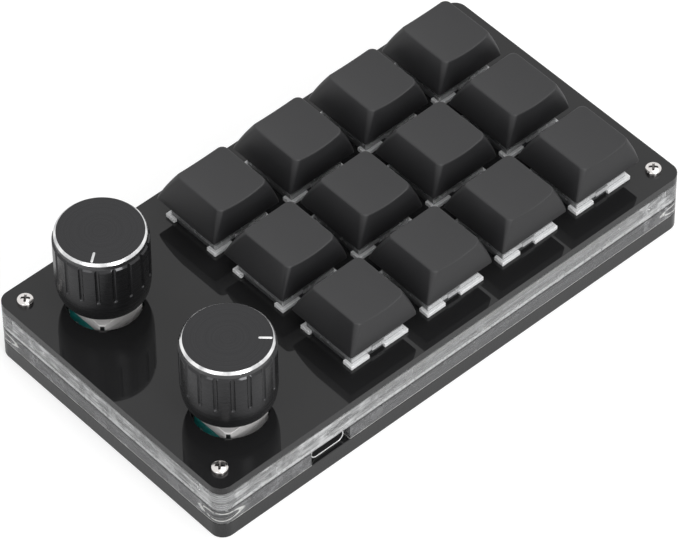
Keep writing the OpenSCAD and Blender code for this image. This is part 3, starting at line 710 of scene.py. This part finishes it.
def cap_outline(z, inset=0.0):
    """Points round a keycap at height z, one height for each point: a rounded rectangle that narrows
    upwards along a slightly bulged line, moves towards -Y, and whose corner radius grows. The bulge
    follows share * (1 - share) and is CAP_SWELL at a share of CAP_SWELL_AT."""
    share = np.clip((z - CAP_RIM) / (CAP_H - CAP_RIM), 0, 1)
    swell = CAP_SWELL * share * (1 - share) / (CAP_SWELL_AT * (1 - CAP_SWELL_AT))
    half_x = (CAP_BASE + (CAP_TOP_X - CAP_BASE) * share + swell) / 2 - inset
    half_y = (CAP_BASE + (CAP_TOP_Y - CAP_BASE) * share + swell) / 2 - inset
    radius = np.maximum(0.5 + share - inset * 0.5, 0.2)
    x = CAP_SIGNS[:, 0] * (half_x - radius) + CAP_LEAN[:, 0] * radius
    y = CAP_SIGNS[:, 1] * (half_y - radius) + CAP_LEAN[:, 1] * radius - CAP_SHIFT * share
    return np.stack([x, y, np.broadcast_to(z, x.shape)], axis=-1)


def dish_height(x):
    """Height of the hollow top: a cylinder that runs along Y."""
    radius = ((CAP_TOP_X / 2) ** 2 + DISH**2) / (2 * DISH)
    return CAP_H - DISH + radius - np.sqrt(radius**2 - x**2)


def keycap_shell():
    """A keycap from the middle of its inner roof, down the inner wall, round the lower rim, up the
    outside, over an eased edge and across the hollow to its middle. The eased edge starts under the sharp
    edge and ends inside it, along the curve (1 - s)^2 * side + 2 * s * (1 - s) * edge + s^2 * within. The
    sharp edge's height is where side and hollow meet, found by going from one to the other until it
    holds."""
    full = np.ones(len(CAP_SIGNS))
    top_reach = 6.7
    edge_z = CAP_H * full
    for _ in range(20):
        edge_z = dish_height(cap_outline(edge_z)[:, 0])
    middle = np.array([0.0, -CAP_SHIFT, 0.0])
    inner_top = cap_outline(CAP_ROOF * full, CAP_WALL)
    roof_middle = inner_top.mean(axis=0)
    rings = [roof_middle + (inner_top - roof_middle) * s for s in (0.1, 0.4, 0.7, 0.95)]
    rings += [cap_outline(z * full, CAP_WALL) for z in (5.5, 4.4, 3.3, 2.2, 1.1, 0.2)]
    rings += [cap_outline(0 * full, CAP_WALL - 0.2), cap_outline(0 * full, 0.15)]
    rings += [cap_outline((edge_z - CAP_EASE) * s + 0.15 * (1 - s)) for s in np.linspace(0, 1, 13)]
    side, edge = cap_outline(edge_z - CAP_EASE), cap_outline(edge_z)
    within = middle + (edge - middle) * [1, 1, 0] * (1 - CAP_EASE / top_reach)
    within[:, 2] = dish_height(within[:, 0])
    for s in (0.15, 0.3, 0.5, 0.7, 0.85, 1.0):
        rings.append((1 - s) ** 2 * side + 2 * s * (1 - s) * edge + s**2 * within)
    for s in np.linspace(0.94, 0.03, 16):
        ring = middle + (within - middle) * [s, s, 0]
        ring[:, 2] = dish_height(ring[:, 0])
        rings.append(ring)
    return stack(np.stack(rings))


def cap_post():
    """The keycap's post: a round tube with an eased foot, whose bore is a cross, from the bore's end
    down the bore and up the outside."""
    post_r, ease = 2.75, 0.15
    arm_along_x, arm_along_y = (2.05, 0.635), (0.705, 2.05)
    angles = circle(96)
    cross = cross_reach(angles, arm_along_x, arm_along_y)
    foot, top = HOUSING_TOP - CAP_Z + 0.02, CAP_ROOF + 0.1
    bore_end = top - 0.9
    outside = np.full(len(angles), post_r)
    radius = np.stack([cross * 0.02, cross, cross, outside - ease, outside, outside])
    return stack(turned(radius, [bore_end, bore_end, foot, foot, foot + ease, top], angles))


CAP_SHAPE = together([keycap_shell(), cap_post()])
for n, (x, y) in enumerate(KEY_PLACES):
    shape = (CAP_SHAPE[0] + [x, y, CAP_Z], CAP_SHAPE[1])
    piece(f"cap_{n + 1}", shape, f"key_{n + 1}", [f"keycap_{n + 1}"], [cap_finish], 40)


# ---- knobs -----------------------------------------------------------------------------------
GROOVES = 18
GROOVE_R, GROOVE_DEPTH, GROOVE_Z = 0.5, 0.38, 5.6
BAND_R, TOP_Z = 9.6, 16.97
POINTER_MIDDLE, POINTER_HALF = 7.5, 1.15


def knob_angles():
    """Angles round a knob, closer together across each groove, which is midway in its share of a turn."""
    half = 180.0 / GROOVES
    across_groove = np.linspace(-2.9, 2.9, 17)
    plain = np.linspace(3.2, half, 6)
    share = np.r_[np.linspace(-half, -3.2, 6), across_groove, plain[:-1]]
    return np.radians((share + half * (1 + 2 * np.arange(GROOVES)[:, None])).ravel())


def groove_reach(angles, height):
    """Distance from the knob's axis to the wall of its grooves: at each groove a ball cutter whose
    centre runs up a line beside the knob, so that the distance is
    centre * cos(off) - sqrt(cutter^2 - (centre * sin(off))^2). Where the cutter doesn't reach, the
    distance is larger than the knob's radius."""
    off = (np.degrees(angles) / (360.0 / GROOVES) % 1.0 - 0.5) * 2 * np.pi / GROOVES
    centre = KNOB_R + GROOVE_R - GROOVE_DEPTH
    under = np.maximum(GROOVE_Z + GROOVE_R - height, 0)
    cutter = np.sqrt(np.maximum(GROOVE_R**2 - under**2, 0))[:, None]
    side = centre * np.sin(off)
    wall = centre * np.cos(off) - np.sqrt(np.maximum(cutter**2 - side**2, 0))
    return np.where(abs(side) < cutter, wall, KNOB_R + 5)


def knob_shell():
    """A knob's shell, turned from (radius, height) rows: from its bore's roof down the bore, round the
    foot, a quarter of an ellipse, up the grooved side, over the bevel, the smooth band and the cut rim
    to the middle of the top. Also gives which faces are the cut rim."""
    angles = knob_angles()
    foot = np.radians(90 * np.arange(1, 13) / 12)
    foot_round, foot_high = 1, 5
    rows = [(0.3, 13.4), (3.0, 13.4), (6.3, 13.4), (6.52, 13.2)]
    rows += [(6.52, 0.25), (6.75, 0), (8.7, 0), (8.92, 0.05)]
    rows += [(KNOB_R - foot_round * (1 - math.sin(a)), foot_high * (1 - math.cos(a))) for a in foot]
    steps = (-0.3, 0.0, 0.06, 0.15, 0.3, 0.5, 0.75, 1.0, 1.4)
    rows += [(KNOB_R, GROOVE_Z + GROOVE_R * s) for s in steps]
    rows += [(KNOB_R, z) for z in (7.5, 9.0, 11.0, 13.0, 14.5, 14.9)]
    rows += [(9.985, 14.955), (9.93, 15.02), (9.8, 15.15), (9.68, 15.27), (9.62, 15.335)]
    rows += [(BAND_R, z) for z in (15.38, 15.6, 16.1, 16.43)]
    rim = len(rows)
    rows += [(9.585, 16.46), (9.13, 16.955), (9.1, TOP_Z)]
    rows += [(r, TOP_Z) for r in (9.05, 7.5, 6.0, 4.5, 3.0, 1.5, 0.4)]
    height = np.array([row[1] for row in rows])
    radius = np.array([row[0] for row in rows])[:, None]
    grooves_end = 15.5
    grooved = ((radius[:, 0] > BAND_R - 0.01) & (height >= GROOVE_Z) & (height < grooves_end))[:, None]
    radius = np.where(grooved, np.minimum(radius, groove_reach(angles, height)), radius)
    points, faces = stack(turned(radius, height, angles))
    bright = np.zeros(len(faces), int)
    count = len(angles)
    bright[(rim - 1) * count : (rim + 2) * count] = 1
    return points, faces, bright


def pointer_line():
    """The knob's pointer: a flat strip with round ends, from its underside up over an eased edge."""
    turn = circle(40)
    spread = np.where(np.cos(turn) > 0, 1.0, -1.0)
    rings = []
    for half_width, z in ((0.26, 16.9), (0.26, 16.985), (0.22, 17.0)):
        x = POINTER_MIDDLE + spread * POINTER_HALF + half_width * np.cos(turn)
        rings.append(np.stack([x, half_width * np.sin(turn), np.full(len(turn), z)], axis=-1))
    return stack(np.stack(rings))


def place_on_knob(points, side, degrees):
    """Turns points by an angle and moves them onto a knob's axis."""
    turn = math.radians(degrees)
    y = -KNOB_Y if side == "front" else KNOB_Y
    spin = np.array([[math.cos(turn), math.sin(turn), 0], [-math.sin(turn), math.cos(turn), 0], [0, 0, 1]])
    return points @ spin + [KNOB_X, y, KNOB_Z]


for side in SIDES:
    points, faces, bright = knob_shell()
    shape = (place_on_knob(points, side, GROOVE_TURN[side]), faces)
    looks = [knob_finish, rim_finish]
    made = piece(f"knob_{side}", shape, f"{side}_knob", [f"knob_shell_{side}"], looks, 25)
    made.data.polygons.foreach_set("material_index", bright)
    points, faces = pointer_line()
    shape = (place_on_knob(points, side, POINTER_TURN[side]), faces)
    piece(f"pointer_{side}", shape, f"{side}_knob", [], [rim_finish])


# ---- screws, inserts and springs -----------------------------------------------------------------
def screw(at):
    """A pan-head screw from its pointed end up the threaded shank, under the head, over the crown and
    down the walls of the cross recess. The thread is a ridge that climbs one pitch a turn, a triangle
    wave in height minus turn, and the crown is part of a ball. Also gives which faces are in the
    recess."""
    pitch, head_high, crown_r = 0.4, 1.3, 3.5
    angles = circle(96)
    heights = np.arange(-11.4, -0.55, 0.1)
    climb = (heights[:, None] / pitch - angles / (2 * np.pi)) % 1.0
    ridge = 0.86 + 0.14 * (1 - abs(2 * climb - 1))
    tip = turned([0.05, 0.45, 0.8], [-12.0, -11.85, -11.5], angles)
    shank = turned(ridge, heights, angles)
    head = turned([0.9, 0.9, 1.68, 1.75, 1.75, 1.7], [-0.5, 0, 0, 0.05, 0.68, 0.82], angles)
    slot = cross_reach(angles + np.pi / 4, (1.0, 0.25), (0.25, 1.0))
    full = np.ones(len(angles))
    spread = np.stack([1.6 * full, 1.4 * full, 1.2 * full, (slot + 1.1) / 2, slot * 1.08])
    crown = head_high - crown_r + np.sqrt(crown_r**2 - spread**2)
    wall = np.stack([slot, slot * 0.9, slot * 0.55, slot * 0.05])
    deep = np.stack([crown[-1] - 0.06, 0.9 * full, 0.6 * full, 0.5 * full])
    across = np.vstack([spread, wall])
    top = np.stack([across * np.cos(angles), across * np.sin(angles), np.vstack([crown, deep])], axis=-1)
    rings = np.concatenate([tip, shank, head, top])
    points, faces = stack(rings)
    row = np.arange(len(faces)) // len(angles)
    # Faces in the recess are the ones painted dark, as shade.
    dark = (row >= len(rings) - len(wall)) & (row != len(rings) - 1)
    return points + [at[0], at[1], PLATE_Z], faces, dark.astype(int)


def insert(at):
    """A knurled metal insert: a ring whose outside has upright ridges, a cosine in the angle, and a
    groove round its middle."""
    bore_r, chamfer, groove_r = 1.08, 0.2, 1.75
    ridges, ridge_r, ridge_high = 24, 1.9, 0.08
    angles = circle(3 * ridges)
    ridge = ridge_r + ridge_high * np.cos(ridges * angles)
    smooth = np.full(len(angles), groove_r)
    bore = np.full(len(angles), bore_r)
    radius = [bore, bore + chamfer, smooth, ridge, ridge, smooth]
    radius = np.stack(radius + radius[::-1])
    height = [1.4, 1.22, 1.22, 1.4, 3.9, 4.05, 4.95, 5.1, 7.6, 7.78, 7.78, 7.6]
    return stack(turned(radius, height, angles, at), joined=True)


turned_screws = [screw(at) for at in SCREW_PLACES]
shape = together([(points, faces) for points, faces, dark in turned_screws])
made = piece("screws", shape, "case", ["case_screws"], [screw_finish, recess_shade_finish], 40)
recessed = np.concatenate([dark for points, faces, dark in turned_screws])
made.data.polygons.foreach_set("material_index", recessed)
inserts = together([insert(at) for at in SCREW_PLACES])
piece("inserts", inserts, "case", ["threaded_inserts"], [insert_finish], 40)


def coil_spring(at):
    """A coil spring: a round wire carried along a helix. It rises slowly in the closed turns at each
    end and evenly in the open ones between."""
    turns, closed, slow_rise = 7, 0.8, 0.18
    second_closed = turns - closed
    foot, head = 12.15, 19.05
    coil_r, wire_r = 2.05, 0.17
    turn = np.linspace(0, turns, turns * 20 + 1)
    share = np.clip((turn - closed) / (second_closed - closed), 0, 1)
    slow = np.clip(turn - closed, -closed, 0) + np.clip(turn - second_closed, 0, closed)
    rise = foot + (head - foot) * share + slow * slow_rise
    angle = (2 * np.pi * turn)[:, None]
    around = circle(8)
    radius = coil_r + wire_r * np.cos(around)
    z = rise[:, None] - wire_r * np.sin(around)
    rings = np.stack([at[0] + radius * np.cos(angle), at[1] + radius * np.sin(angle), z], axis=-1)
    return stack(rings)


for n, at in enumerate(KEY_PLACES):
    stands = ["key_springs"] if n == 0 else []
    made = piece(f"spring_{n + 1}", coil_spring(at), "case", stands, [spring_steel], 60)
    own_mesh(made)


# ---- floor, light and camera -------------------------------------------------------------------------
def white_to_the_eye(look, strength, mirrored):
    """Adds a plain white glow to a surface for the camera's own rays and see-through rays, and a weaker
    one for mirror rays, and leaves its shading."""
    camera_ray = look.node("LightPath", {}, {}, "Is Camera Ray")
    through = Wire(look, camera_ray.socket.node.outputs["Is Transmission Ray"])
    look.feed(look.shader, {"Emission Color": (1.0, 1.0, 1.0)})
    glossy = Wire(look, camera_ray.socket.node.outputs["Is Glossy Ray"])
    glow = camera_ray.high(through) * strength + glossy * mirrored
    look.feed(look.shader, {"Emission Strength": glow})


floor_mesh = bpy.data.meshes.new("floor")
far = 3.0
floor_corners = [(-far, -far, 0), (far, -far, 0), (far, far, 0), (-far, far, 0)]
floor_mesh.from_pydata(floor_corners, [], [(0, 1, 2, 3)])
floor = in_scene("floor", floor_mesh)
floor_look = Look("floor_white", (0.55, 0.55, 0.55), 0.9)
white_to_the_eye(floor_look, 0.56, 0.3)
floor_mesh.materials.append(floor_look.material)

world = bpy.data.worlds.new("studio")
bpy.context.scene.world = world
world.use_nodes = True
sky = world.node_tree.nodes["Background"]
sky.inputs["Color"].default_value = (1, 1, 1, 1)
# The camera and mirrors see the sky at full strength, and its scattered light is dimmed by a share.
dimmed_by = 0.35
world_path = world.node_tree.nodes.new("ShaderNodeLightPath")
lit = world.node_tree.nodes.new("ShaderNodeMath")
lit.operation = "MULTIPLY_ADD"
world.node_tree.links.new(world_path.outputs["Is Diffuse Ray"], lit.inputs[0])
lit.inputs[1].default_value = -dimmed_by
lit.inputs[2].default_value = 1.0
world.node_tree.links.new(lit.outputs[0], sky.inputs["Strength"])


def soft_lamp(name, turn, lift, away, size, power):
    """A soft box that faces the keypad: turn degrees from -Y towards -X, lift degrees up, away metres
    off, with its size in metres and its power in watts."""
    data = bpy.data.lights.new(name, "AREA")
    data.shape = "RECTANGLE"
    data.size, data.size_y = size
    data.energy = power
    lamp = in_scene(name, data)
    level = math.cos(math.radians(lift)) * away
    turned_to = math.radians(turn)
    height = math.sin(math.radians(lift)) * away
    lamp.location = (-math.sin(turned_to) * level, -math.cos(turned_to) * level, height)
    lamp.rotation_euler = (-lamp.location).to_track_quat("-Z", "Y").to_euler()


soft_lamp("soft_box_over", -60.0, 72.0, 1.2, (0.8, 0.8), 3.0)
soft_lamp("soft_box_front", 9.5, 33.0, 1.0, (0.3, 0.6), 4.2)
soft_lamp("soft_box_left", 75.5, 35.0, 1.0, (0.3, 0.55), 0.9)

camera_data = bpy.data.cameras.new("camera")
camera_data.sensor_width = 36.0
camera_data.lens = 274.62
camera_data.clip_start = 0.01
camera_data.clip_end = 20.0
camera = in_scene("camera", camera_data)
camera_place = (-0.480225, -0.541703, 0.808417)
turned_by, looks_down, leans = -41.498, 47.985, -0.738
heading = Matrix.Rotation(math.radians(turned_by), 4, "Z")
tilt = Matrix.Rotation(math.radians(90 - looks_down), 4, "X")
roll = Matrix.Rotation(math.radians(leans), 4, "Z")
camera.matrix_world = Matrix.Translation(camera_place) @ heading @ tilt @ roll
bpy.context.scene.camera = camera

bpy.context.scene.view_settings.view_transform = "Standard"
